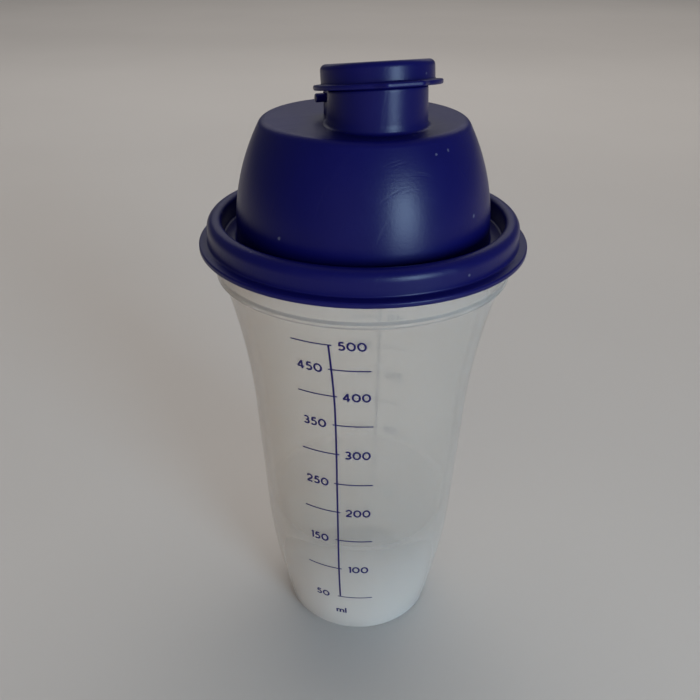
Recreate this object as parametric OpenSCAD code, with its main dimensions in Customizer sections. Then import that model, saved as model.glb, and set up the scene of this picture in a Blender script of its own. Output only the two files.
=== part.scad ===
// Shaker bottle: a press-on domed lid with a slanted pouring spout and a hinged flip cap,
// on a tapered cup, with a mixing insert clipped in the mouth of the dome.
// The origin is the centre of the cup's foot, on the table. The spout leans out along -Y,
// where the cap's thumb tab is, and the cap's hinge is on the +Y side of the spout.

/* [Cup] */
// Height of the cup's rim above the table
cup_h = 157.9; // [145:0.1:200]
// Radius that the straight taper of the side has where it meets the table
cup_line_r = 32.4; // [26:0.1:40]
// How much the side's radius grows for each millimetre of height
cup_taper = 0.054; // [0.03:0.001:0.08]
// How far the foot is drawn in from the straight taper
foot_tuck = 4.6; // [2:0.1:7]
// Height over which the foot is drawn in
foot_tuck_h = 45; // [25:1:70]
// How far the mouth flares out from the straight taper, below the collar
mouth_flare = 5.6; // [2:0.1:8]
// Height over which the mouth flares out, below the collar
mouth_flare_h = 50.7; // [30:0.1:70]
// Thickness of the cup's side
cup_wall = 1.5; // [1:0.1:2]
// Thickness of the cup's floor
cup_floor = 1.6; // [1.2:0.1:3]
// Height of the hollow under the floor, inside the foot ring
foot_recess = 0.8; // [0.4:0.1:2]
// Width of the foot ring
foot_ring_w = 2.8; // [2:0.1:5]
// Rounding of the foot's outer edge
foot_round = 2; // [1:0.1:3]
// Rounding inside, between floor and side
floor_round = 4; // [2:0.1:8]

/* [Collar] */
// How far the collar, which the lid presses over, stands out from the side below it
collar_step = 1.65; // [0.8:0.05:4]
// Height of the collar, from its lower step to the rim
collar_h = 16.2; // [12:0.1:22]
// Thickness of the collar
rim_wall = 1.4; // [1.2:0.1:2]

/* [Lid ring] */
// Clearance at each side of the rim in the lid's channel
rim_clear = 0.3; // [0.2:0.05:0.5]
// Clearance above the rim in the channel
rim_gap = 0.2; // [0.1:0.05:0.5]
// Thickness of the lid
lid_wall = 1.5; // [1.2:0.1:2]
// Thickness of the plug wall inside the rim
plug_wall = 1.1; // [0.8:0.1:1.6]
// Height of the ring, from the lip's underside to its crest
ring_h = 9.3; // [7:0.1:14]
// Width of the gripping lip outside the ring
lip_w = 2.8; // [1.5:0.1:5]
// Height of the gripping lip
lip_h = 2; // [1.5:0.1:3]
// Height of the moat's floor above the lip's underside
moat_up = 2.2; // [1.8:0.1:4]
// Width of the moat between the ring and the dome
moat_w = 4.5; // [2.5:0.1:8]
// Rounding of the ring's crest on its outer side
crest_out_round = 3; // [1:0.1:3.4]
// Rounding of the ring's crest on the moat's side
crest_in_round = 1.5; // [1:0.1:1.6]

/* [Dome] */
// How far the dome's side leans in, from its foot to the start of the shoulder
dome_lean = 8.3; // [4:0.1:12]
// Height of the dome's side, from its foot to the start of the shoulder
dome_side_h = 33.8; // [26:0.1:45]
// Power of the curve of the dome's side; 1 is a cone
dome_bulge = 2.2; // [1.4:0.1:3]
// Radius of the rounded shoulder
shoulder_round = 3; // [2:0.1:4]

/* [Spout] */
// Distance of the spout's axis from the dome's axis
spout_offset = 9.8; // [4:0.1:12]
// Height of the cap's flange above the dome's top, on the spout's axis
spout_h = 10.7; // [8.9:0.1:16]
// Outer radius of the spout at the dome's top
spout_r = 14.6; // [12:0.1:17.6]
// How much the spout narrows on its way up
spout_draft = 0.5; // [0.2:0.05:0.8]
// Slant of the spout's mouth, higher at the tab's side
spout_slant = 9.4; // [4:0.1:12]
// Clearance between the mouth collar and the cap's side
mouth_clear = 1; // [0.6:0.05:1.6]
// Thickness of the mouth collar
mouth_wall = 1; // [0.8:0.05:1.5]
// Width of the ledge inside, where the mouth collar stands on the spout
mouth_ledge = 0.7; // [0.6:0.1:2]
// Rounding between spout and dome
spout_fillet = 1.2; // [0.6:0.1:2]

/* [Flip cap] */
// Clearance between the cap's side and the top of the spout
cap_clear = 0.6; // [0.4:0.05:1.5]
// Thickness of the cap's side
cap_wall = 1.3; // [1:0.05:1.5]
// Height of the cap's top above the middle of its flange
cap_h = 6; // [5:0.1:8]
// Thickness of the cap's top
cap_top = 1.5; // [1:0.1:2]
// Rounding of the cap's upper edge
cap_round = 1.6; // [0.6:0.1:2]
// Width of the cap's flange
flange_w = 2.2; // [1.4:0.1:4]
// Thickness of the cap's flange
flange_t = 1.4; // [1:0.1:2]
// How far the thumb tab stands out from the flange
tab_out = 0.9; // [0.4:0.1:6]
// Half the width of the thumb tab's edge
tab_half_w = 5.4; // [3:0.1:8]
// Depth of the shallow plug that closes the mouth
plug_depth = 1.2; // [0.8:0.1:1.5]
// Clearance of the plug in the mouth
plug_clear = 0.6; // [0.3:0.05:1]

/* [Cap hinge] */
// Radius of the hinge pin
pin_r = 1.3; // [1:0.05:1.6]
// Gap between the hinge pin and the spout, measured at the spout's foot
pin_gap = 0.9; // [0.8:0.1:1.6]
// How far the hinge pin stands out beyond each post
pin_out = 2.9; // [1:0.1:4]
// Running clearance of the pin in the posts
pin_clear = 0.06; // [0.03:0.01:0.1]
// Gap between the hinge posts' eyes and the flange above them
post_gap = 0.34; // [0.2:0.02:0.8]
// Distance of a hinge post's inner face from the middle
post_in = 7.6; // [6:0.1:9.2]
// Thickness of a hinge post
post_t = 2.7; // [2:0.1:3]
// Wall round the pin in a hinge post
post_wall = 0.7; // [0.5:0.05:0.8]

/* [Mixing insert] */
// Clearance between the insert and the dome
insert_clear = 0.3; // [0.2:0.05:0.6]
// Height of the insert's rim
insert_h = 5; // [4:0.1:8]
// Thickness of the insert's rim
insert_wall = 1.3; // [1:0.1:2]
// Thickness of the insert's vanes and rings, up and down
grid_t = 1.8; // [1.2:0.1:3]
// Width of the insert's vanes and rings
grid_w = 1.4; // [1:0.1:2.4]
// Number of curved vanes
vane_n = 8; // [5:1:10]
// Radius of the insert's hub
hub_r = 6; // [4:0.1:9]
// Thickness of the stop ring above the insert
stop_t = 1.2; // [0.8:0.1:2]
// How far the stop ring stands in from the dome
stop_w = 2; // [1.4:0.1:4]

/* [Hidden] */
$fn = 96;
side_steps = 22;
round_steps = 6;
reach = 60;

foot_power = 1.7;
mouth_power = 2;
collar_z = cup_h - collar_h;
collar_r = cup_r(collar_z) + collar_step;
ring_top = cup_h + rim_gap + lid_wall;
lip_z = ring_top - ring_h;
channel_r = collar_r + rim_clear;
channel_in_r = collar_r - rim_wall - rim_clear;
ring_r = channel_r + lid_wall;
moat_r = channel_in_r - plug_wall;
moat_z = lip_z + moat_up;
moat_under = moat_z - lid_wall;
edge = 0.4;
moat_round = 0.8;
dome_r = moat_r - moat_w;
shoulder_r = dome_r - dome_lean;
dome_foot_z = moat_z + moat_round;
shoulder_z = dome_foot_z + dome_side_h;
shoulder_a = dome_slope(1);
dome_top = shoulder_z + shoulder_round * (1 - sin(shoulder_a));
mouth_gap = 0.3;
cap_in_r = spout_r - spout_draft + cap_clear;
cap_r = cap_in_r + cap_wall;
flange_r = cap_r + flange_w;
tab_reach = flange_r + tab_out;
tab_root_a = 26;
cap_in_top = cap_h - cap_top;
mouth_top = cap_in_top - mouth_gap;
mouth_base = -flange_t / 2 - mouth_gap;
mouth_r = cap_in_r - mouth_clear;
mouth_bore_r = mouth_r - mouth_wall;
spout_bore_r = mouth_bore_r - mouth_ledge;
mouth_plug_r = mouth_bore_r - plug_clear;
plug_taper = 1.6;
plug_ring_w = 1.4;
post_r = pin_r + pin_clear + post_wall;
post_back = 1.2;
post_root = 0.4;
pin_reach = spout_r + pin_r + pin_gap;
pin_drop = flange_t / 2 + post_r + post_gap;
pin_half_l = post_in + post_t + pin_out;
pin_y = -spout_offset + pin_reach * cos(spout_slant) - pin_drop * sin(spout_slant);
pin_z = dome_top + spout_h - pin_reach * sin(spout_slant) - pin_drop * cos(spout_slant);
knuckle_clear = 0.3;
insert_drop = 0.4;
vane_bow = 0.62;
ring_shares = [0.42, 0.72];
insert_top = dome_foot_z + insert_h - insert_drop;
stop_z = insert_top + insert_clear;
insert_r = dome_side_r(insert_top - dome_foot_z) - lid_wall - insert_clear;

// Radius of the cup's side at height z: a straight taper, drawn in at the foot and flared at the mouth
function cup_r(z) = cup_line_r + cup_taper * z
    - foot_tuck * pow(max(0, 1 - z / foot_tuck_h), foot_power)
    + mouth_flare * pow(max(0, 1 - (collar_z - z) / mouth_flare_h), mouth_power);

// Radius of the dome's side at height h above its foot, and the side's lean from upright there
function dome_side_r(h) = dome_r - (dome_r - shoulder_r) * pow(h / dome_side_h, dome_bulge);
function dome_slope(t) = atan((dome_r - shoulder_r) * dome_bulge * pow(t, dome_bulge - 1) / dome_side_h);

// A point of the dome's side, t of the way up, moved inwards by inset at right angles to the surface
function dome_point(t, inset) = [
    dome_side_r(t * dome_side_h) - inset * cos(dome_slope(t)),
    dome_foot_z + t * dome_side_h - inset * sin(dome_slope(t))
];

// Points of an arc about c, of radius r, from angle a to angle b
function arc(c, r, a, b, n = round_steps) =
    [for (i = [0:n]) c + r * [cos(a + (b - a) * i / n), sin(a + (b - a) * i / n)]];

// Frame of the slanted mouth: its origin is on the spout's axis, in the middle of the cap's flange
module mouth_frame() {
    translate([0, -spout_offset, dome_top + spout_h]) rotate([-spout_slant, 0, 0]) children();
}

module cup() {
    foot_r = cup_r(foot_round) - foot_round;
    floor_z = foot_recess + cup_floor;
    outside = [for (i = [0:side_steps]) let (z = foot_round + (collar_z - foot_round) * i / side_steps)
        [cup_r(z), z]];
    in_z = floor_z + floor_round;
    in_top = collar_z + edge;
    inside = [for (i = [side_steps:-1:0]) let (z = in_z + (in_top - in_z) * i / side_steps)
        [cup_r(min(z, collar_z)) - cup_wall, z]];
    color([0.86, 0.88, 0.87, 0.6]) rotate_extrude() polygon(concat(
        [[0, foot_recess], [foot_r - foot_ring_w, foot_recess], [foot_r - foot_ring_w + foot_recess, 0]],
        arc([foot_r, foot_round], foot_round, -90, 0),
        outside,
        [[collar_r - edge, collar_z], [collar_r, collar_z + edge]],
        [[collar_r, cup_h - edge], [collar_r - edge, cup_h]],
        [[collar_r - rim_wall + edge, cup_h], [collar_r - rim_wall, cup_h - edge]],
        [[collar_r - rim_wall, in_top + cup_wall]],
        inside,
        arc([cup_r(in_z) - cup_wall - floor_round, in_z], floor_round, 0, -90),
        [[0, floor_z]]
    ));
}

// Section of the lid: lip, hollow ring over the rim, moat and dome, with the insert's stop ring inside
module lid_section() {
    shoulder_c = dome_point(1, shoulder_round);
    stop_h = stop_z - dome_foot_z;
    stop_far_h = stop_h + stop_t;
    stop_end_h = stop_far_h + stop_w;
    polygon(concat(
        [[channel_r, lip_z], [ring_r + lip_w - edge, lip_z], [ring_r + lip_w, lip_z + edge]],
        [[ring_r + lip_w, lip_z + lip_h - 2 * edge], [ring_r + lip_w - edge, lip_z + lip_h - edge]],
        [[ring_r + edge, lip_z + lip_h], [ring_r, lip_z + lip_h + edge]],
        arc([ring_r - crest_out_round, ring_top - crest_out_round], crest_out_round, 0, 90),
        arc([moat_r + crest_in_round, ring_top - crest_in_round], crest_in_round, 90, 180),
        arc([moat_r - moat_round, moat_z + moat_round], moat_round, 0, -90),
        arc([dome_r + moat_round, moat_z + moat_round], moat_round, 270, 180),
        [for (i = [1:side_steps - 1]) dome_point(i / side_steps, 0)],
        arc(shoulder_c, shoulder_round, shoulder_a, 90),
        [[0, dome_top], [0, dome_top - lid_wall]],
        arc(shoulder_c, shoulder_round - lid_wall, 90, shoulder_a),
        [for (i = [side_steps - 1:-1:1]) if (i * dome_side_h > stop_end_h * side_steps)
            dome_point(i / side_steps, lid_wall)],
        [[dome_side_r(stop_end_h) - lid_wall, stop_z + stop_t + stop_w]],
        [[dome_side_r(stop_h) - lid_wall - stop_w, stop_z + stop_t]],
        [[dome_side_r(stop_h) - lid_wall - stop_w, stop_z]],
        [[dome_side_r(stop_h) - lid_wall, stop_z]],
        [[dome_r - lid_wall, dome_foot_z], [dome_r - lid_wall, moat_under]],
        [[channel_in_r, moat_under], [channel_in_r, cup_h + rim_gap], [channel_r, cup_h + rim_gap]]
    ));
}

// Space above the plane that the mouth collar stands on
module above_mouth() {
    mouth_frame() translate([-reach, -reach, mouth_base]) cube([2 * reach, 2 * reach, reach]);
}

module spout_outside() {
    narrow = spout_draft / spout_h;
    full_h = spout_h + mouth_r;
    difference() {
        translate([0, -spout_offset, dome_top - lid_wall / 2])
            cylinder(h = full_h, r1 = spout_r, r2 = spout_r - narrow * full_h);
        above_mouth();
    }
    mouth_frame() rotate_extrude() polygon([
        [0, mouth_base - edge], [mouth_r, mouth_base - edge],
        [mouth_r, mouth_top - edge], [mouth_r - edge, mouth_top], [0, mouth_top]
    ]);
    translate([0, -spout_offset, dome_top]) rotate_extrude() polygon(concat(
        [[spout_r - lid_wall, -lid_wall / 2], [spout_r + spout_fillet, -lid_wall / 2]],
        arc([spout_r + spout_fillet, spout_fillet], spout_fillet, 270, 180),
        [[spout_r - lid_wall, spout_fillet]]
    ));
}

module spout_bore() {
    difference() {
        translate([0, -spout_offset, dome_top - 2 * lid_wall]) cylinder(h = reach, r = spout_bore_r);
        above_mouth();
    }
    mouth_frame() translate([0, 0, mouth_base - edge])
        cylinder(h = mouth_top - mouth_base + 2 * edge, r = mouth_bore_r);
}

// One hinge post, from x = from: it stands on the dome beside the spout and holds the pin
module hinge_post(from) {
    root_y = -spout_offset + sqrt(pow(spout_bore_r + post_root, 2) - pow(post_in, 2));
    translate([from, 0, 0]) rotate([90, 0, 90]) linear_extrude(post_t) difference() {
        union() {
            translate([root_y, dome_top - lid_wall / 2])
                square([pin_y + post_back - root_y, pin_z - dome_top + lid_wall / 2]);
            translate([root_y, pin_z - edge]) square([pin_y - root_y, post_r + edge]);
            translate([pin_y, pin_z]) circle(r = post_r);
        }
        translate([pin_y, pin_z]) circle(r = pin_r + pin_clear);
    }
}

module dome_lid() {
    color([0.10, 0.10, 0.36]) difference() {
        union() {
            rotate_extrude() lid_section();
            spout_outside();
            hinge_post(post_in);
            hinge_post(-post_in - post_t);
        }
        spout_bore();
    }
}

module flip_cap() {
    half_t = flange_t / 2;
    knuckle_w = 2 * (post_in - knuckle_clear);
    tab_root = flange_r * [sin(tab_root_a), cos(tab_root_a)];
    color([0.11, 0.11, 0.38]) mouth_frame() {
        rotate_extrude() polygon(concat(
            [[0, cap_in_top], [mouth_plug_r - plug_taper - plug_ring_w, cap_in_top]],
            [[mouth_plug_r - plug_taper - plug_ring_w, mouth_top - plug_depth]],
            [[mouth_plug_r - plug_taper, mouth_top - plug_depth], [mouth_plug_r, cap_in_top]],
            [[cap_in_r, cap_in_top], [cap_in_r, -half_t]],
            [[flange_r - edge, -half_t], [flange_r, edge - half_t]],
            [[flange_r, half_t - edge], [flange_r - edge, half_t], [cap_r, half_t]],
            arc([cap_r - cap_round, cap_h - cap_round], cap_round, 0, 90),
            [[0, cap_h]]
        ));
        difference() {
            translate([0, 0, -half_t]) linear_extrude(flange_t) polygon([
                [-tab_root.x, -tab_root.y], [-tab_half_w, -tab_reach],
                [tab_half_w, -tab_reach], [tab_root.x, -tab_root.y]
            ]);
            translate([0, 0, -flange_t]) cylinder(h = 2 * flange_t, r = cap_r - cap_wall / 2);
        }
        translate([-knuckle_w / 2, pin_reach - pin_r + edge, -pin_drop])
            cube([knuckle_w, 2 * (pin_r - edge), pin_drop]);
        translate([0, pin_reach, -pin_drop]) rotate([0, 90, 0]) rotate_extrude() polygon([
            [0, -pin_half_l], [pin_r - edge, -pin_half_l], [pin_r, edge - pin_half_l],
            [pin_r, pin_half_l - edge], [pin_r - edge, pin_half_l], [0, pin_half_l]
        ]);
    }
}

// A ring of the insert's grid, of mean radius r
module grid_ring(r) {
    difference() {
        circle(r = r + grid_w / 2);
        circle(r = r - grid_w / 2);
    }
}

// A curved vane: the half of a ring that runs from the hub to the rim
module vane() {
    bow = insert_r * vane_bow;
    intersection() {
        translate([0, bow]) grid_ring(bow);
        translate([0, -grid_w]) square([insert_r, insert_r]);
        circle(r = insert_r - insert_wall / 2);
    }
}

module mixing_insert() {
    color([0.93, 0.93, 0.90]) translate([0, 0, insert_top]) {
        translate([0, 0, -insert_h]) linear_extrude(insert_h) difference() {
            circle(r = insert_r);
            circle(r = insert_r - insert_wall);
        }
        translate([0, 0, -insert_h / 2 - grid_t / 2]) linear_extrude(grid_t) {
            for (i = [0:vane_n - 1]) rotate(360 * i / vane_n) vane();
            for (share = ring_shares) grid_ring(insert_r * share);
            circle(r = hub_r);
        }
    }
}

cup();
dome_lid();
flip_cap();
mixing_insert();
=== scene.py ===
"""Looks for a shaker bottle with a press-on lid: a milky cup with a printed scale, a satin domed lid
with a slanted spout and a hinged flip cap, and a mixing insert in the mouth of the dome.

Every shape is a stack of rings of points in millimetres, skinned into one closed mesh. The sizes are
the CAD model's own, so each piece lies where its CAD node lies, with the corners rounded as moulding
leaves them."""

import math

import bpy
import numpy as np
from mathutils import Matrix, Vector


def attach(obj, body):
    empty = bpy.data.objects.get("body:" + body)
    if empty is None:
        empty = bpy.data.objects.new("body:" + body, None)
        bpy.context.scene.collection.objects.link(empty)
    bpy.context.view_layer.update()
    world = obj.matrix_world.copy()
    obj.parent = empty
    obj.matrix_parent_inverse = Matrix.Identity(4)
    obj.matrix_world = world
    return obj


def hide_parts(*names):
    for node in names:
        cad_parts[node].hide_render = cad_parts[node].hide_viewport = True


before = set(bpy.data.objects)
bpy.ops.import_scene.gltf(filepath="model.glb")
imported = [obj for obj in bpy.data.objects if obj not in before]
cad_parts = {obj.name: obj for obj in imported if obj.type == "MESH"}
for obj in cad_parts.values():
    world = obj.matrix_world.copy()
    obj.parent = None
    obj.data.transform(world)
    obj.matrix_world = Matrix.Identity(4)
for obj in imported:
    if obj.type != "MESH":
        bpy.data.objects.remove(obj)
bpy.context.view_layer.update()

MM = 0.001
TURN = 2 * np.pi
Z = Vector((0, 0, 1))

# Cup, in millimetres: heights above the table, outside radii, walls, and the taper, foot and flare
CUP_H, COLLAR_Z, COLLAR_R = 157.9, 141.7, 47.3
CUP_WALL, RIM_WALL, FLOOR_Z, RECESS = 1.5, 1.4, 2.4, 0.8
CUP_LINE_R, CUP_TAPER, TUCK, TUCK_Z, TUCK_BEND, FLARE, FLARE_H = 32.4, 0.054, 4.6, 45, 1.7, 5.6, 50.7
FOOT_IN, FOOT_EDGE, FOOT_ROUND, RIM_STEP = 4.8, 4.1, 1.9, 1.9

# Lid ring, moat and dome
LIP_Z, LIP_R, LIP_MIDDLE, LIP_EDGE_TOP, LIP_ROOT_TOP = 150.3, 51.9, 49.6, 151.95, 152.35
RING_R, RING_TOP, MOAT_R, MOAT_Z = 49.1, 159.6, 44.5, 152.5
CHANNEL_IN, CHANNEL_OUT, CHANNEL_TOP, MOAT_UNDER = 45.6, 47.6, 158.1, 151.0
DOME_R, SHOULDER_R, DOME_FOOT, DOME_SIDE, BULGE = 40.0, 31.7, 153.3, 33.8, 2.2
LID_WALL, SHOULDER_ROUND = 1.5, 3.0

# Spout, cap and hinge. The mouth frame is centred on the spout's axis, in the middle of the cap's flange
SPOUT_Y, SPOUT_H, SPOUT_R, SPOUT_DRAFT, SPOUT_BORE = -9.8, 10.7, 14.6, 0.5, 12.0
SLANT = math.radians(9.4)
MOUTH_R, MOUTH_BORE, MOUTH_BASE, MOUTH_TOP, LEDGE_Z = 13.7, 12.7, -1.0, 4.2, -1.4
CAP_R, CAP_IN, CAP_TOP, CAP_IN_TOP, FLANGE_R, FLANGE_HALF = 16.0, 14.7, 6.0, 4.5, 18.2, 0.7
PLUG_R, PLUG_TIP_R, PLUG_IN, PLUG_Z = 12.1, 10.5, 9.1, 3.0
TAB_REACH, TAB_HALF, TAB_TURN = 19.1, 5.4, math.radians(26)
PIN_REACH, PIN_DROP, PIN_R, PIN_HALF = 16.8, 3.1, 1.3, 13.2
POST_IN, POST_T, POST_R, POST_BACK, POST_HOLE = 7.6, 2.7, 2.06, 1.2, 1.36
POST_SINK, POST_NECK, WEB_HALF, KNUCKLE_GAP = 0.75, 0.4, 0.9, 0.3

# Mixing insert
INSERT_TOP, INSERT_H, INSERT_WALL, INSERT_CLEAR, GRID_T, GRID_W = 157.9, 5.0, 1.3, 0.3, 1.8, 1.4
HUB_R, VANES, VANE_BOW, RING_SHARES = 6.0, 8, 0.62, (0.42, 0.72)
STOP_Z, STOP_T, STOP_W = 158.2, 1.2, 2.0

# Printed scale: the height of each mark, the azimuths of the two upright lines, the stroke widths, how
# far the print drifts left at the top mark, the places of ticks and figures, and the ink film's height
MARKS = {
    50: 21.3, 100: 37.7, 150: 52.3, 200: 65.6, 250: 78.4,
    300: 91.0, 350: 103.0, 400: 114.6, 450: 125.1, 500: 134.4,
}
SCALE_FRONT, SCALE_BACK = math.radians(-123.4), math.radians(56.6)
LINE_W, TICK_W, DIGIT_W, PRINT_DRIFT, DRIFT_Z, DRIFT_H, DRIFT_BEND = 0.6, 0.44, 0.62, 0.75, 110, 24.4, 1.3
FILM, FILM_EDGE = 0.05, 0.03
TICK_REACH, TICK_STUB, NUMBER_X, UNIT_Z, DIGIT_HALF = 11.8, 1.0, 6.9, 12.4, 1.38

# Camera: its place in metres, its aim, tilt and roll in degrees, and its lens in millimetres
CAMERA_AT, CAMERA_TURNS, LENS = (-0.08554, -0.21171, 0.23817), (68.97, 29.56, 0.352), 38.571


# ---------------------------------------------------------------- shapes

def cup_radius(z):
    """Radius of the cup's outside at height z: a straight taper, less a power of the distance to the foot's
    upper end, plus the square of the distance into the flare below the collar."""
    z = np.asarray(z, float)
    tuck = TUCK * np.maximum(0, 1 - z / TUCK_Z) ** TUCK_BEND
    flare = FLARE * np.maximum(0, 1 - (COLLAR_Z - z) / FLARE_H) ** 2
    return CUP_LINE_R + CUP_TAPER * z - tuck + flare


def dome_radius(h):
    """Radius of the dome's side at height h above its foot: the foot's radius less a power of the height."""
    return DOME_R - (DOME_R - SHOULDER_R) * (h / DOME_SIDE) ** BULGE


def dome_lean(t):
    """Angle from upright of the dome's side, t of the way up: arc tangent of the radius's slope."""
    return np.arctan((DOME_R - SHOULDER_R) * BULGE * t ** (BULGE - 1) / DOME_SIDE)


def dome_line(t, inset):
    """Points (radius, height) of the dome's side, t of the way up, moved in by inset along the normal."""
    lean = dome_lean(t)
    radius = dome_radius(t * DOME_SIDE) - inset * np.cos(lean)
    return np.stack([radius, DOME_FOOT + t * DOME_SIDE - inset * np.sin(lean)], -1)


def arc(centre, radius, start, end, steps):
    """Points of a circle's arc: centre plus radius times the unit vector of each angle from start to end."""
    angle = np.linspace(start, end, steps + 1)
    return np.asarray(centre) + radius * np.stack([np.cos(angle), np.sin(angle)], -1)


def rounded(corners, step=1.6, tie=0.1):
    """A flat line through (x, y, rounding) corners. Each corner is an arc tangent to its two sides. Each
    straight side is cut at every step, and at tie from its ends, so that an arc's shading stays in it."""
    corners = [tuple(c) + (0.0,) * (3 - len(c)) for c in corners]
    at = np.array([c[:2] for c in corners])
    runs = [at[:1]]
    for i in range(1, len(at) - 1):
        before, after = at[i] - at[i - 1], at[i + 1] - at[i]
        before, after = before / np.linalg.norm(before), after / np.linalg.norm(after)
        turn = math.atan2(before[0] * after[1] - before[1] * after[0], before @ after)
        if corners[i][2] == 0 or abs(turn) < 0.01:
            runs.append(at[i : i + 1])
            continue
        reach = corners[i][2] * math.tan(abs(turn) / 2)
        side = math.copysign(1, turn)
        normal = side * np.array([-before[1], before[0]])
        centre = at[i] - reach * before + corners[i][2] * normal
        start = math.atan2(-normal[1], -normal[0])
        runs.append(arc(centre, corners[i][2], start, start + turn, max(3, round(abs(turn) / 0.2))))
    runs.append(at[-1:])
    line = [runs[0]]
    for previous, following in zip(runs, runs[1:]):
        a, b = previous[-1], following[0]
        length = np.linalg.norm(b - a)
        if length > 4 * tie:
            share = np.linspace(tie / length, 1 - tie / length, max(2, round(length / step) + 1))[:, None]
            line.append(a + (b - a) * share)
        line.append(following)
    return np.concatenate(line)


def turned(line, angles):
    """Rings of a shape turned about the upright axis: each (radius, height) of the line, at every angle."""
    r, z = line[:, :1], line[:, 1:2]
    return np.stack([r * np.cos(angles), r * np.sin(angles), z + 0 * angles], -1)


def softened(reach, times):
    """An outline's reach at each angle, averaged over and over with its two neighbours: a quarter of each
    neighbour and half of itself."""
    for _ in range(times):
        reach = (np.roll(reach, 1) + 2 * reach + np.roll(reach, -1)) / 4
    return reach


def mouth(points):
    """Points of the slanted mouth frame, placed: turned by the slant about x, then moved to the spout."""
    x, y, z = np.moveaxis(np.asarray(points, float), -1, 0)
    cos, sin = math.cos(SLANT), math.sin(SLANT)
    return np.stack([x, y * cos + z * sin + SPOUT_Y, z * cos - y * sin + DOME_TOP + SPOUT_H], -1)


def skin(name, stacks, finish, body, node, loop=False):
    """One mesh from stacks of rings, each an (m, n, 3) array in millimetres. Neighbouring rings are joined
    by quads. Where loop is true, the last ring joins the first. If not, end rings close on their middles."""
    points, faces, first = [], [], 0
    for rings in stacks:
        rings = np.asarray(rings, float)
        m, n = rings.shape[:2]
        index = np.arange(m * n).reshape(m, n)
        rows = np.vstack([index, index[:1]]) if loop else index
        a, b = rows[:-1], rows[1:]
        quads = np.stack([a, np.roll(a, -1, 1), np.roll(b, -1, 1), b], -1).reshape(-1, 4)
        flat, caps = rings.reshape(-1, 3), np.zeros((0, 3), int)
        if not loop:
            low, high = np.full(n, m * n), np.full(n, m * n + 1)
            caps = np.concatenate([
                np.stack([np.roll(index[0], -1), index[0], low], -1),
                np.stack([index[-1], np.roll(index[-1], -1), high], -1),
            ])
            flat = np.concatenate([flat, rings[:1].mean(1), rings[-1:].mean(1)])
        triangles = np.concatenate([quads[:, :3], quads[:, [0, 2, 3]], caps])
        p, q, r = (flat[triangles[:, i]] for i in range(3))
        if np.einsum("ij,ij->", p, np.cross(q, r)) < 0:
            quads, caps = quads[:, ::-1], caps[:, ::-1]
        faces += (quads + first).tolist() + (caps + first).tolist()
        points.append(flat)
        first += len(flat)
    mesh = bpy.data.meshes.new(name)
    mesh.from_pydata(np.concatenate(points) * MM, [], faces)
    mesh.polygons.foreach_set("use_smooth", np.ones(len(faces), bool))
    mesh.update()
    mesh.materials.append(finish)
    piece = bpy.data.objects.new(name, mesh)
    bpy.context.scene.collection.objects.link(piece)
    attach(piece, body)
    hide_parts(node)
    return piece


SHOULDER_LEAN = float(dome_lean(1.0))
SHOULDER_AT = dome_line(np.array(1.0), SHOULDER_ROUND)
DOME_TOP = SHOULDER_AT[1] + SHOULDER_ROUND


# ---------------------------------------------------------------- finishes

def linear(code):
    """Linear colour of an sRGB hex value such as "8090a0"."""
    value = np.array([int(code[i : i + 2], 16) for i in (0, 2, 4)]) / 255
    value = np.where(value <= 0.04045, value / 12.92, ((value + 0.055) / 1.055) ** 2.4)
    return (*value.tolist(), 1.0)


def add(tree, kind, settings=(), **links):
    """Adds a node with its settings. A link names an input, with _ for a space, or gives _ and its number,
    and its value is an output or a constant."""
    node = tree.nodes.new(kind)
    for key, value in dict(settings).items():
        setattr(node, key, value)
    for key, value in links.items():
        socket = node.inputs[int(key[1:])] if key[1:].isdigit() else node.inputs[key.replace("_", " ")]
        if isinstance(value, bpy.types.NodeSocket):
            tree.links.new(value, socket)
        else:
            socket.default_value = value
    return node


def new_finish(name):
    """An empty node material, with its tree, its surface output and the piece's own coordinates in metres."""
    finish = bpy.data.materials.new(name)
    finish.use_nodes = True
    tree = finish.node_tree
    tree.nodes.clear()
    where = add(tree, "ShaderNodeTexCoord").outputs["Object"]
    return finish, tree, add(tree, "ShaderNodeOutputMaterial"), where


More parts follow.
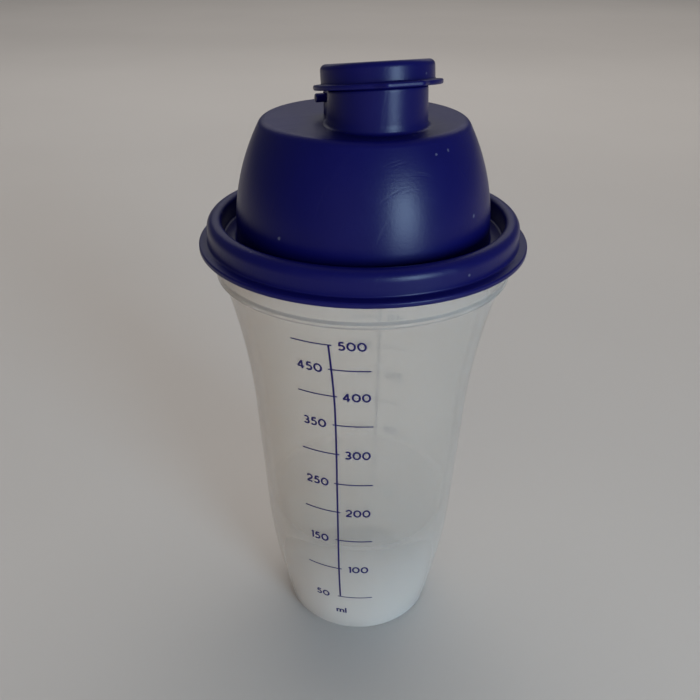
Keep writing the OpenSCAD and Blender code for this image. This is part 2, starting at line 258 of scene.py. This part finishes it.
def blue_polyethylene():
    """Satin moulded polyethylene, pigmented deep blue: it gives soft broad highlights, faint flow marks
    about 20 mm long, a mould grain of 0.9 mm and finer, fine wiping scratches, and a little pale dust."""
    finish, tree, out, where = new_finish("moulded_polyethylene_blue")
    flow = add(tree, "ShaderNodeTexNoise", Vector=where, Scale=48.0, Detail=4.0, Roughness=0.6)
    colour = add(tree, "ShaderNodeMix", {"data_type": "RGBA"}, Factor=flow.outputs["Fac"])
    colour.inputs[6].default_value, colour.inputs[7].default_value = linear("0a0a4c"), linear("0d0d57")
    dust = add(tree, "ShaderNodeTexVoronoi", Vector=where, Scale=240.0)
    dust_size = add(tree, "ShaderNodeTexNoise", Vector=where, Scale=700.0, Detail=1.0)
    lift = add(
        tree, "ShaderNodeMath", {"operation": "MULTIPLY_ADD"}, _0=dust_size.outputs["Fac"], _1=-0.22, _2=0.0
    )
    near = add(tree, "ShaderNodeMath", {"operation": "ADD"}, _0=dust.outputs["Distance"], _1=lift.outputs[0])
    chosen = add(tree, "ShaderNodeSeparateColor", Color=dust.outputs["Color"])
    speck = add(
        tree, "ShaderNodeMapRange", Value=near.outputs[0], From_Min=-0.03, From_Max=0.03,
        To_Min=1.0, To_Max=0.0,
    )
    rare = add(tree, "ShaderNodeMath", {"operation": "GREATER_THAN"}, _0=chosen.outputs["Red"], _1=0.90)
    shown = add(
        tree, "ShaderNodeMath", {"operation": "MULTIPLY"}, _0=speck.outputs["Result"], _1=rare.outputs[0]
    )
    faint = add(tree, "ShaderNodeMath", {"operation": "MULTIPLY"}, _0=shown.outputs[0], _1=0.28)
    dusty = add(tree, "ShaderNodeMix", {"data_type": "RGBA"}, Factor=faint.outputs[0])
    tree.links.new(colour.outputs[2], dusty.inputs[6])
    dusty.inputs[7].default_value = linear("9a9cb0")
    wiped = add(tree, "ShaderNodeMapping", Vector=where)
    wiped.inputs["Rotation"].default_value = (0.3, 0.5, 0.9)
    wiped.inputs["Scale"].default_value = (60, 1500, 60)
    scratch = add(tree, "ShaderNodeTexNoise", Vector=wiped.outputs[0], Scale=1.0, Detail=2.0)
    mark = add(tree, "ShaderNodeMapRange", Value=scratch.outputs["Fac"], From_Min=0.62, From_Max=0.75)
    gloss = add(
        tree, "ShaderNodeMapRange", Value=flow.outputs["Fac"], From_Min=0.3, From_Max=0.7,
        To_Min=0.31, To_Max=0.37,
    )
    rough = add(tree, "ShaderNodeMath", {"operation": "MULTIPLY_ADD"}, _0=mark.outputs["Result"], _1=0.08)
    tree.links.new(gloss.outputs["Result"], rough.inputs[2])
    grain = add(tree, "ShaderNodeTexNoise", Vector=where, Scale=1100.0, Detail=4.0, Roughness=0.65)
    relief = add(tree, "ShaderNodeMath", {"operation": "MULTIPLY_ADD"}, _0=mark.outputs["Result"], _1=-0.6)
    tree.links.new(grain.outputs["Fac"], relief.inputs[2])
    bump = add(tree, "ShaderNodeBump", Strength=0.30, Distance=0.0001, Height=relief.outputs[0])
    body = add(
        tree, "ShaderNodeBsdfPrincipled", Base_Color=dusty.outputs[2], Roughness=rough.outputs[0],
        Normal=bump.outputs[0], IOR=1.51, Specular_IOR_Level=0.29,
    )
    tree.links.new(body.outputs[0], out.inputs["Surface"])
    return finish


def natural_polypropylene():
    """Natural moulded polypropylene, unpigmented: milky and see-through at once, milkier from 55 mm down to
    the foot, and slightly so at the collar. It has faint flow marks about 30 mm long and a fine 0.8 mm haze
    from washing."""
    finish, tree, out, where = new_finish("moulded_polypropylene_natural")
    flow = add(tree, "ShaderNodeTexNoise", Vector=where, Scale=32.0, Detail=5.0, Roughness=0.6)
    colour = add(tree, "ShaderNodeMix", {"data_type": "RGBA"}, Factor=flow.outputs["Fac"])
    colour.inputs[6].default_value, colour.inputs[7].default_value = linear("f7f0e8"), linear("fdf8f1")
    haze = add(tree, "ShaderNodeTexNoise", Vector=where, Scale=1250.0, Detail=2.0)
    rough = add(
        tree, "ShaderNodeMapRange", Value=flow.outputs["Fac"], From_Min=0.3, From_Max=0.7,
        To_Min=0.05, To_Max=0.09,
    )
    bump = add(tree, "ShaderNodeBump", Strength=0.10, Distance=0.0001, Height=haze.outputs["Fac"])
    height = add(tree, "ShaderNodeSeparateXYZ", Vector=where)
    foot = add(
        tree, "ShaderNodeMapRange", Value=height.outputs["Z"], From_Min=0.0, From_Max=0.055,
        To_Min=0.42, To_Max=0.77,
    )
    collar = add(
        tree, "ShaderNodeMapRange", Value=height.outputs["Z"], From_Min=0.138, From_Max=0.1425,
        To_Min=1.0, To_Max=0.97,
    )
    clear = add(
        tree, "ShaderNodeMath", {"operation": "MULTIPLY"},
        _0=foot.outputs["Result"], _1=collar.outputs["Result"],
    )
    body = add(
        tree, "ShaderNodeBsdfPrincipled", Base_Color=colour.outputs[2], Roughness=rough.outputs["Result"],
        Normal=bump.outputs[0], IOR=1.49, Transmission_Weight=clear.outputs[0],
    )
    tree.links.new(body.outputs[0], out.inputs["Surface"])
    return finish


def insert_polypropylene():
    """White moulded polypropylene: a slightly warm satin white with a 0.6 mm mould grain."""
    finish, tree, out, where = new_finish("moulded_polypropylene_white")
    flow = add(tree, "ShaderNodeTexNoise", Vector=where, Scale=60.0, Detail=4.0)
    colour = add(tree, "ShaderNodeMix", {"data_type": "RGBA"}, Factor=flow.outputs["Fac"])
    colour.inputs[6].default_value, colour.inputs[7].default_value = linear("d9d8d0"), linear("e8e7e0")
    rough = add(
        tree, "ShaderNodeMapRange", Value=flow.outputs["Fac"], From_Min=0.3, From_Max=0.7,
        To_Min=0.38, To_Max=0.48,
    )
    grain = add(tree, "ShaderNodeTexNoise", Vector=where, Scale=1600.0, Detail=2.0)
    bump = add(tree, "ShaderNodeBump", Strength=0.15, Distance=0.0001, Height=grain.outputs["Fac"])
    body = add(
        tree, "ShaderNodeBsdfPrincipled", Base_Color=colour.outputs[2], Roughness=rough.outputs["Result"],
        Normal=bump.outputs[0], IOR=1.49,
    )
    tree.links.new(body.outputs[0], out.inputs["Surface"])
    return finish


def scale_ink():
    """Screen-printed ink: a matt dark violet blue film, a little uneven, with 0.55 mm of mesh mottle."""
    finish, tree, out, where = new_finish("screen_printed_ink")
    mottle = add(tree, "ShaderNodeTexNoise", Vector=where, Scale=1800.0, Detail=3.0)
    colour = add(tree, "ShaderNodeMix", {"data_type": "RGBA"}, Factor=mottle.outputs["Fac"])
    colour.inputs[6].default_value, colour.inputs[7].default_value = linear("0f0b4a"), linear("1a165e")
    rough = add(
        tree, "ShaderNodeMapRange", Value=mottle.outputs["Fac"], From_Min=0.3, From_Max=0.7,
        To_Min=0.45, To_Max=0.6,
    )
    body = add(
        tree, "ShaderNodeBsdfPrincipled", Base_Color=colour.outputs[2], Roughness=rough.outputs["Result"],
        Specular_IOR_Level=0.15,
    )
    tree.links.new(body.outputs[0], out.inputs["Surface"])
    return finish


def table_paper():
    """A matt pale table covering."""
    finish, tree, out, where = new_finish("pale_matt_board")
    shade = add(tree, "ShaderNodeTexNoise", Vector=where, Scale=3.0, Detail=3.0)
    colour = add(tree, "ShaderNodeMix", {"data_type": "RGBA"}, Factor=shade.outputs["Fac"])
    colour.inputs[6].default_value, colour.inputs[7].default_value = linear("ccc8c4"), linear("d4d0cc")
    body = add(tree, "ShaderNodeBsdfPrincipled", Base_Color=colour.outputs[2], Roughness=0.85)
    tree.links.new(body.outputs[0], out.inputs["Surface"])
    return finish


# ---------------------------------------------------------------- the cup

def make_cup(finish):
    """The cup, turned: up the outside from the foot ring to the rim, and down the inside to the floor."""
    angles = np.arange(240) / 240 * TURN
    foot_r = float(cup_radius(2.0))
    outside = np.linspace(2.2, COLLAR_Z - 0.4, 84)
    inside = np.linspace(COLLAR_Z + 0.3, 7.0, 70)
    corners = [
        (0.4, RECESS), (foot_r - FOOT_IN, RECESS, 0.3), (foot_r - FOOT_EDGE, 0, 0.4),
        (foot_r - 0.15, 0, FOOT_ROUND),
        *zip(cup_radius(outside), outside),
        (float(cup_radius(COLLAR_Z)), COLLAR_Z, 0.12), (COLLAR_R, COLLAR_Z, 0.18), (COLLAR_R, CUP_H, 0.6),
        (COLLAR_R - RIM_WALL, CUP_H, 0.6), (COLLAR_R - RIM_WALL, COLLAR_Z + RIM_STEP, 0.6),
        *zip(cup_radius(np.minimum(inside, COLLAR_Z)) - CUP_WALL, inside),
        (float(cup_radius(4.0)) - CUP_WALL - 0.35, FLOOR_Z, 3.6), (0.4, FLOOR_Z),
    ]
    return skin("cup_body", [turned(rounded(corners), angles)], finish, "cup", "cup")


def wrapped(path, width, azimuth, loop=False):
    """A printed stroke: a thin closed band along a path of (distance round the cup, height) points. Its
    section is a flat box, width wide across the path, from just under the cup's face to just above it. The
    print drifts a little to the left where the cup flares, by a power of the height above DRIFT_Z."""
    path = np.asarray(path, float)
    if loop:
        along = np.roll(path, -1, 0) - np.roll(path, 1, 0)
    else:
        along = np.gradient(path, axis=0)
    along /= np.linalg.norm(along, axis=1)[:, None]
    across = np.stack([-along[:, 1], along[:, 0]], -1)
    share = np.array([-1, -0.8, 0, 0.8, 1, 1, -1])[None, :, None]
    height = np.array([FILM_EDGE, FILM, FILM, FILM, FILM_EDGE, -FILM_EDGE, -FILM_EDGE])
    spread = path[:, None] + across[:, None] * share * width / 2
    radius = cup_radius(spread[..., 1])
    drift = PRINT_DRIFT * (np.maximum(0, spread[..., 1] - DRIFT_Z) / DRIFT_H) ** DRIFT_BEND
    turn = azimuth + (spread[..., 0] - drift) / cup_radius(path[:, None, 1])
    radius = radius + height
    return np.stack([radius * np.cos(turn), radius * np.sin(turn), spread[..., 1]], -1)


def bar(x0, z0, x1, z1, step=0.4):
    """A straight path from one point to another, cut about every step."""
    count = max(2, round(math.hypot(x1 - x0, z1 - z0) / step) + 1)
    return np.linspace((x0, z0), (x1, z1), count)


def bow(x, z, rx, rz, start, end, count=18):
    """A path on an ellipse about (x, z), from one angle in degrees to another."""
    angle = np.radians(np.linspace(start, end, count))
    return np.stack([x + rx * np.cos(angle), z + rz * np.sin(angle)], -1)


def glyphs():
    """Plain geometric figures as open and closed strokes, on a base line at 0, with each one's width. The
    strokes are the centre lines: bars, and arcs of ellipses."""
    ring = np.radians(np.arange(28) / 28 * 360)
    return {
        "0": (2.15, [], [
            np.stack([1.07 + 1.07 * np.cos(ring), DIGIT_HALF + DIGIT_HALF * np.sin(ring)], -1),
        ]),
        "1": (0.55, [bar(0.55, -0.22, 0.55, 2.98), bar(-0.02, 2.42, 0.6, 2.8)], []),
        "2": (1.75, [
            bow(0.85, 1.92, 0.85, 0.84, 165, -32), bar(1.6, 1.5, 0.05, 0.1), bar(-0.1, 0, 1.85, 0),
        ], []),
        "3": (1.5, [bow(0.62, 2.05, 0.72, 0.71, 145, -95), bow(0.6, 0.67, 0.92, 0.67, 95, -140)], []),
        "4": (1.95, [
            bar(1.42, 2.8, -0.05, 0.68), bar(-0.15, 0.68, 2.05, 0.68), bar(1.4, 2.95, 1.4, -0.22),
        ], []),
        "5": (1.65, [
            bar(0.42, 2.76, 1.6, 2.76), bar(0.45, 2.85, 0.2, 1.45), bow(0.68, 0.86, 0.94, 0.86, 128, -138),
        ], []),
        "m": (2.5, [
            bar(0, -0.22, 0, 1.95), bar(1.25, -0.22, 1.25, 1.2), bar(2.5, -0.22, 2.5, 1.2),
            bow(0.63, 1.18, 0.62, 0.6, 180, 0, 12), bow(1.88, 1.18, 0.62, 0.6, 180, 0, 12),
        ], []),
        "l": (0.0, [bar(0, -0.22, 0, 2.98)], []),
    }


def label(text, middle, height, shapes, gap=0.92):
    """The strokes of a row of figures centred on a point, as (open paths, closed paths)."""
    widths = [shapes[c][0] for c in text]
    start = middle - (sum(widths) + gap * (len(text) - 1)) / 2
    opened, closed = [], []
    for c, width in zip(text, widths):
        opened += [p + (start, height - DIGIT_HALF) for p in shapes[c][1]]
        closed += [p + (start, height - DIGIT_HALF) for p in shapes[c][2]]
        start += width + gap
    return opened, closed


def make_scale(name, azimuth, finish):
    """A printed scale: one upright line, a long tick at each mark that runs left at the hundreds and right
    between them, and the mark's number on the other side, with the unit below."""
    shapes = glyphs()
    strokes = [wrapped(bar(0, MARKS[50] - 0.2, 0, MARKS[500] + 0.2, 1.5), LINE_W, azimuth)]
    rings = []
    for mark, height in MARKS.items():
        side = -1 if mark % 100 == 0 else 1
        strokes.append(wrapped(bar(-side * TICK_STUB, height, side * TICK_REACH, height), TICK_W, azimuth))
        opened, closed = label(str(mark), -side * NUMBER_X, height, shapes)
        strokes += [wrapped(p, DIGIT_W, azimuth) for p in opened]
        rings += [wrapped(p, DIGIT_W, azimuth, loop=True) for p in closed]
    opened, _ = label("ml", 0, UNIT_Z, shapes, gap=0.85)
    strokes += [wrapped(p, DIGIT_W, azimuth) for p in opened]
    skin(name + "_lines", strokes, finish, "cup", "cup")
    skin(name + "_zeros", rings, finish, "cup", "cup", loop=True)


# ---------------------------------------------------------------- the lid

def make_lid(finish):
    """The domed lid as one closed surface: out over the lip, ring, moat and dome, across the flat top to the
    offset spout, up its cone to the slanted mouth, back down the bore, and along the inside to the lip."""
    angles = np.arange(232) / 232 * TURN
    cos, sin = np.cos(angles), np.sin(angles)
    rise = np.linspace(0.01, 1, 34)
    flat_r = SHOULDER_AT[0] - 0.12
    over = rounded([
        (LIP_MIDDLE, LIP_Z), (LIP_R, LIP_Z, 0.5), (LIP_R, LIP_EDGE_TOP, 0.6), (RING_R, LIP_ROOT_TOP, 0.5),
        (RING_R, RING_TOP, 3.0), (MOAT_R, RING_TOP, 1.5), (MOAT_R, MOAT_Z, 0.8), (DOME_R, MOAT_Z, 0.78),
        *dome_line(rise, 0), *arc(SHOULDER_AT, SHOULDER_ROUND, SHOULDER_LEAN, np.pi / 2, 10)[1:],
        (flat_r, DOME_TOP),
    ])
    stop_r = dome_radius(STOP_Z - DOME_FOOT) - LID_WALL
    stop_top = STOP_Z + STOP_T
    above = (stop_top + STOP_W - DOME_FOOT) / DOME_SIDE
    under = rounded([
        (flat_r, DOME_TOP - LID_WALL),
        *arc(SHOULDER_AT, SHOULDER_ROUND - LID_WALL, np.pi / 2, SHOULDER_LEAN, 8),
        *dome_line(np.linspace(0.985, above + 0.01, 26), LID_WALL),
        (dome_radius(above * DOME_SIDE) - LID_WALL, stop_top + STOP_W, 0.2),
        (stop_r - STOP_W, stop_top, 0.25), (stop_r - STOP_W, STOP_Z, 0.25), (stop_r, STOP_Z, 0.2),
        (DOME_R - LID_WALL, DOME_FOOT), (DOME_R - LID_WALL, MOAT_UNDER, 0.3), (CHANNEL_IN, MOAT_UNDER, 0.3),
        (CHANNEL_IN, CHANNEL_TOP, 0.25), (CHANNEL_OUT, CHANNEL_TOP, 0.25), (CHANNEL_OUT, LIP_Z, 0.35),
        (LIP_MIDDLE - 0.2, LIP_Z),
    ])

    def level(radius, y, z):
        """Level rings, with a radius, a centre along y, and a height each."""
        radius, y, z = (np.asarray(v, float)[:, None] for v in (radius, y, z))
        return np.stack([radius * cos, y + radius * sin, z + 0 * cos], -1)

    def slanted(radius, local_z):
        """Rings of the mouth frame, with a radius and a height in it each."""
        radius, z = (np.asarray(v, float)[:, None] for v in (radius, local_z))
        return mouth(np.stack([radius * cos, radius * sin, z + 0 * cos], -1))

    def up_to_mouth(radius, narrowing, base, shares, local_z):
        """Rings of the spout's cone or bore. A ring's height goes by shares from base to where the cone's
        line meets the slanted plane at local_z: a linear equation for each angle."""
        tilt = sin * math.sin(SLANT)
        top = local_z + (DOME_TOP + SPOUT_H) * math.cos(SLANT) - (radius + narrowing * DOME_TOP) * tilt
        top = top / (math.cos(SLANT) - narrowing * tilt)
        height = base + shares[:, None] * (top - base)
        r = radius - narrowing * (height - DOME_TOP)
        return np.stack([r * cos, SPOUT_Y + r * sin, height], -1)

    fillet = 1.2
    blend = np.array([0.004, 0.06, 0.2, 0.4, 0.6, 0.8, 0.94, 0.992])
    foot_r = SPOUT_R + fillet
    sweep = np.linspace(0, np.pi / 2, 8)
    shares = np.array([0.012, 0.15, 0.35, 0.55, 0.75, 0.9, 0.965])
    down = np.array([0.995, 0.97, 0.6, 0.3, 0.04, 0.012])
    drop = np.array([0.0, 0.1, 0.5, 0.9, 1.0])
    collar = rounded([
        (MOUTH_R, MOUTH_BASE + 0.1), (MOUTH_R, MOUTH_TOP, 0.4), (MOUTH_BORE, MOUTH_TOP, 0.4),
        (MOUTH_BORE, LEDGE_Z),
    ])
    under_top = DOME_TOP - LID_WALL
    rings = [
        turned(over, angles),
        level(flat_r + (foot_r - flat_r) * blend, SPOUT_Y * blend, DOME_TOP + 0 * blend),
        level(
            foot_r - fillet * np.sin(sweep), SPOUT_Y + 0 * sweep, DOME_TOP + fillet * (1 - np.cos(sweep))
        ),
        up_to_mouth(SPOUT_R, SPOUT_DRAFT / SPOUT_H, DOME_TOP + fillet, shares, MOUTH_BASE - 0.05),
        slanted([MOUTH_R + 0.25, MOUTH_R + 0.15], [MOUTH_BASE, MOUTH_BASE]),
        slanted(*collar.T),
        slanted([MOUTH_BORE - 0.1, SPOUT_BORE + 0.15], [LEDGE_Z, LEDGE_Z]),
        up_to_mouth(SPOUT_BORE, 0.0, under_top, down, LEDGE_Z),
        level(SPOUT_BORE + (flat_r - SPOUT_BORE) * drop, SPOUT_Y * (1 - drop), under_top + 0 * drop)[1:-1],
        turned(under, angles),
    ]
    rings = [np.concatenate(rings)]
    return skin("dome_lid_shell", rings, finish, "dome_lid", "dome_lid", loop=True)


def make_post(name, start, finish):
    """A hinge post as a loop of outlines: the hole, the inner face, the outer edge, the other face and the
    hole again. The outline, seen from the pin, is the furthest of the round eye and two rectangles."""
    y, z = PIN_Y, PIN_Z
    angles = np.arange(160) / 160 * TURN
    cos, sin = np.cos(angles), np.sin(angles)

    def box_reach(back, front, low, high):
        """Distance from the pin to a rectangle's edge along each angle: the nearer of the upright side
        and the level side that the angle meets."""
        with np.errstate(divide="ignore", invalid="ignore"):
            side = np.where(cos > 0, back / np.maximum(cos, 1e-9), front / np.maximum(-cos, 1e-9))
            end = np.where(sin > 0, high / np.maximum(sin, 1e-9), low / np.maximum(-sin, 1e-9))
        return np.minimum(side, end)

    reach = np.maximum(POST_R, box_reach(POST_BACK, y, z - DOME_TOP + POST_SINK, 1e-6))
    reach = softened(np.maximum(reach, box_reach(1e-6, y, POST_NECK, POST_R)), 3)

    def outline(radius, x):
        return np.stack([x + 0 * cos, y + radius * cos, z + radius * sin], -1)

    end = start + POST_T
    rings = [
        outline(POST_HOLE, start + 0.15), outline(POST_HOLE + 0.15, start), outline(reach - 0.3, start),
        outline(reach - 0.08, start + 0.08), outline(reach, start + 0.3), outline(reach, end - 0.3),
        outline(reach - 0.08, end - 0.08), outline(reach - 0.3, end), outline(POST_HOLE + 0.15, end),
        outline(POST_HOLE, end - 0.15),
    ]
    return skin(name, [np.stack(rings)], finish, "dome_lid", "dome_lid", loop=True)


# ---------------------------------------------------------------- the flip cap

def make_cap(finish):
    """The flip cap in the mouth frame: from the middle of its top over the rounded edge and down its side,
    out round the flange and its thumb tab, and back under it to the ceiling and the shallow plug ring."""
    angles = np.arange(288) / 288 * TURN
    cos, sin = np.cos(angles), np.sin(angles)
    root = FLANGE_R * np.array([math.sin(TAB_TURN), -math.cos(TAB_TURN)])
    corner = np.array([TAB_HALF, -TAB_REACH])
    slope = corner - root
    normal = np.array([-slope[1], slope[0]])
    normal /= np.linalg.norm(normal)
    normal *= np.sign(normal @ corner)
    facing = -sin
    front = TAB_REACH / np.maximum(facing, 1e-6)
    side = (normal @ corner) / np.maximum(normal[0] * np.abs(cos) + normal[1] * sin, 1e-6)
    tab = np.where(facing > math.cos(TAB_TURN), np.minimum(front, side), 0)
    flange = softened(np.maximum(FLANGE_R, tab), 2)

    over = rounded([
        (0.4, CAP_TOP), (CAP_R, CAP_TOP, 1.65), (CAP_R, FLANGE_HALF, 0.45), (CAP_R + 0.9, FLANGE_HALF),
    ])
    under = rounded([
        (CAP_IN + 0.9, -FLANGE_HALF), (CAP_IN, -FLANGE_HALF, 0.3), (CAP_IN, CAP_IN_TOP, 0.4),
        (PLUG_R, CAP_IN_TOP, 0.2), (PLUG_TIP_R, PLUG_Z, 0.3), (PLUG_IN, PLUG_Z, 0.3),
        (PLUG_IN, CAP_IN_TOP, 0.3), (0.4, CAP_IN_TOP),
    ])
    edge = rounded([
        (-1.2, FLANGE_HALF), (0, FLANGE_HALF, 0.5), (0, -FLANGE_HALF, 0.5), (-1.2, -FLANGE_HALF),
    ], step=0.5)
    radius = flange[None] + edge[:, :1]
    rim = np.stack([radius * cos, radius * sin, edge[:, 1:2] + 0 * cos], -1)
    rings = np.concatenate([turned(over, angles), rim, turned(under, angles)])
    return skin("flip_cap_shell", [mouth(rings)], finish, "flip_cap", "flip_cap")


def make_hinge(finish):
    """The cap's hinge: a knuckle that reaches down from the flange between the posts, whose section is the
    furthest of the pin's circle and a web, and a pin with chamfered ends, turned about the x axis."""
    angles = np.arange(96) / 96 * TURN
    cos, sin = np.cos(angles), np.sin(angles)
    web = np.minimum(WEB_HALF / np.maximum(np.abs(cos), 1e-6), PIN_DROP / np.maximum(sin, 1e-6))
    reach = softened(np.maximum(PIN_R, np.where(sin > 0, web, 0)), 2)

    def section(radius, x):
        return np.stack([x + 0 * cos, PIN_REACH + radius * cos, radius * sin - PIN_DROP], -1)

    half = POST_IN - KNUCKLE_GAP
    knuckle = [
        section(reach - 0.25, -half), section(reach - 0.07, 0.07 - half), section(reach, 0.25 - half),
        section(reach, half - 0.25), section(reach - 0.07, half - 0.07), section(reach - 0.25, half),
    ]
    line = rounded([(0.2, -PIN_HALF), (PIN_R, -PIN_HALF, 0.4), (PIN_R, PIN_HALF, 0.4), (0.2, PIN_HALF)])
    pin = [section(r, x) for r, x in line]
    skin("cap_hinge_knuckle", [mouth(np.stack(knuckle))], finish, "flip_cap", "flip_cap")
    skin("cap_hinge_pin", [mouth(np.stack(pin))], finish, "flip_cap", "flip_cap")


# ---------------------------------------------------------------- the mixing insert

def make_insert(finish):
    """The insert: a turned rim and two turned grid rings with rounded sections, a turned hub, and curved
    vanes. Each vane is a rounded box section carried along a circle's arc from the hub to the rim."""
    angles = np.arange(200) / 200 * TURN
    outer = dome_radius(INSERT_TOP - DOME_FOOT) - LID_WALL - INSERT_CLEAR
    middle = INSERT_TOP - INSERT_H / 2

    def band(inner, out, low, high, soft):
        """A closed turned band with rounded corners, from the middle of its lower face and round to it."""
        half = (inner + out) / 2
        section = rounded([
            (half, low), (out, low, soft), (out, high, soft), (inner, high, soft), (inner, low, soft),
            (half - 0.01, low),
        ], step=1.0)
        return turned(section, angles)

    bands = [band(outer - INSERT_WALL, outer, INSERT_TOP - INSERT_H, INSERT_TOP, 0.35)]
    low, high = middle - GRID_T / 2, middle + GRID_T / 2
    for share in RING_SHARES:
        bands.append(band(outer * share - GRID_W / 2, outer * share + GRID_W / 2, low, high, 0.3))
    skin("mixing_insert_rings", bands, finish, "mixing_insert", "mixing_insert", loop=True)

    bow_r = outer * VANE_BOW
    reach = (outer - INSERT_WALL / 2) / (2 * bow_r)
    turn = np.linspace(0.06, 2 * math.asin(reach), 40)
    track = np.stack([bow_r * np.sin(turn), bow_r - bow_r * np.cos(turn)], -1)
    out_of = np.stack([-np.sin(turn), np.cos(turn)], -1)
    wide, tall = GRID_W / 2, GRID_T / 2
    box = rounded([
        (0, -tall), (wide, -tall, 0.3), (wide, tall, 0.3), (-wide, tall, 0.3), (-wide, -tall, 0.3),
        (-0.02, -tall),
    ], step=0.8)
    flat = track[:, None] + out_of[:, None] * box[None, :, :1]
    height = middle + 0 * flat[..., 0] + box[None, :, 1]
    spin = (np.arange(VANES) * TURN / VANES)[:, None, None]
    x = flat[None, ..., 0] * np.cos(spin) - flat[None, ..., 1] * np.sin(spin)
    y = flat[None, ..., 0] * np.sin(spin) + flat[None, ..., 1] * np.cos(spin)
    vanes = np.stack([x, y, np.broadcast_to(height, x.shape)], -1)
    hub = rounded([(0.4, low), (HUB_R, low, 0.4), (HUB_R, high, 0.4), (0.4, high)])
    stacks = [*vanes, turned(hub, angles[::4])]
    skin("mixing_insert_vanes", stacks, finish, "mixing_insert", "mixing_insert")


# ---------------------------------------------------------------- studio

def make_studio(finish):
    """A wide pale floor, a dim surround, a soft window light at the front right, a paler light behind, a
    broad light overhead and a fill from the left."""
    mesh = bpy.data.meshes.new("floor")
    side = np.linspace(-6, 6, 13)
    x, y = np.meshgrid(side, side, indexing="ij")
    index = np.arange(side.size**2).reshape(side.size, side.size)
    quads = np.stack([index[:-1, :-1], index[1:, :-1], index[1:, 1:], index[:-1, 1:]], -1).reshape(-1, 4)
    mesh.from_pydata(np.stack([x, y, 0 * x], -1).reshape(-1, 3), [], quads.tolist())
    mesh.materials.append(finish)
    floor = bpy.data.objects.new("floor", mesh)
    bpy.context.scene.collection.objects.link(floor)

    world = bpy.data.worlds.new("dim_surround")
    bpy.context.scene.world = world
    world.use_nodes = True
    surround = world.node_tree.nodes["Background"]
    surround.inputs["Color"].default_value = linear("d9dbe0")
    surround.inputs["Strength"].default_value = 0.13

    def lamp(name, azimuth, elevation, distance, width, height, watts, colour, spread=180, mirrored=True):
        """A rectangular light that faces the middle of the bottle from a direction in degrees. Its beam is
        spread degrees wide, and mirrored says whether it shows in reflections."""
        data = bpy.data.lights.new(name, "AREA")
        data.shape, data.size, data.size_y, data.energy = "RECTANGLE", width, height, watts
        data.color = linear(colour)[:3]
        data.spread = math.radians(spread)
        light = bpy.data.objects.new(name, data)
        bpy.context.scene.collection.objects.link(light)
        a, e = math.radians(azimuth), math.radians(elevation)
        toward = Vector((math.cos(a) * math.cos(e), math.sin(a) * math.cos(e), math.sin(e)))
        target = Vector((0, 0, 0.11))
        light.location = target + toward * distance
        light.rotation_euler = toward.to_track_quat("Z", "Y").to_euler()
        light.visible_camera = False
        light.visible_glossy = mirrored

    lamp("window", -76, 9, 1.1, 0.36, 0.54, 1.62, "c2e4ff", spread=80)
    lamp("pale_wall_bounce", 69, 32, 1.4, 1.7, 0.66, 2.2, "f6f4f2")
    lamp("overhead", 58, 60, 3.2, 4.0, 4.0, 62.0, "fffaf5", mirrored=False)
    lamp("room_fill", -128, 11, 1.6, 1.6, 0.8, 1.45, "fff6ee", spread=80, mirrored=False)


def make_camera():
    """The camera: 38.57 mm lens, 0.23 m from the bottle's axis and 0.24 m above the table, looking 29.6
    degrees down at the bottle. Its axes are built from the aim, the tilt and a small roll."""
    data = bpy.data.cameras.new("camera")
    data.sensor_width, data.lens = 36.0, LENS
    data.clip_start, data.clip_end = 0.02, 50
    camera = bpy.data.objects.new("camera", data)
    bpy.context.scene.collection.objects.link(camera)
    aim, tilt, roll = (math.radians(angle) for angle in CAMERA_TURNS)
    ahead = Vector((math.cos(aim), math.sin(aim), 0))
    right = Vector((math.sin(aim), -math.cos(aim), 0))
    forward = ahead * math.cos(tilt) - Z * math.sin(tilt)
    up = ahead * math.sin(tilt) + Z * math.cos(tilt)
    across = right * math.cos(roll) + up * math.sin(roll)
    above = up * math.cos(roll) - right * math.sin(roll)
    turn = Matrix((across, above, -forward)).transposed().to_4x4()
    camera.matrix_world = Matrix.Translation(CAMERA_AT) @ turn
    bpy.context.scene.camera = camera


PIN_Y, PIN_Z = mouth((0, PIN_REACH, -PIN_DROP))[1:]

lid_finish = blue_polyethylene()
cup_finish = natural_polypropylene()
ink = scale_ink()
make_cup(cup_finish)
make_scale("scale_front", SCALE_FRONT, ink)
make_scale("scale_back", SCALE_BACK, ink)
make_lid(lid_finish)
make_post("hinge_post_right", POST_IN, lid_finish)
make_post("hinge_post_left", -POST_IN - POST_T, lid_finish)
make_cap(lid_finish)
make_hinge(lid_finish)
make_insert(insert_polypropylene())
make_studio(table_paper())
make_camera()
bpy.context.scene.view_settings.view_transform = "Standard"
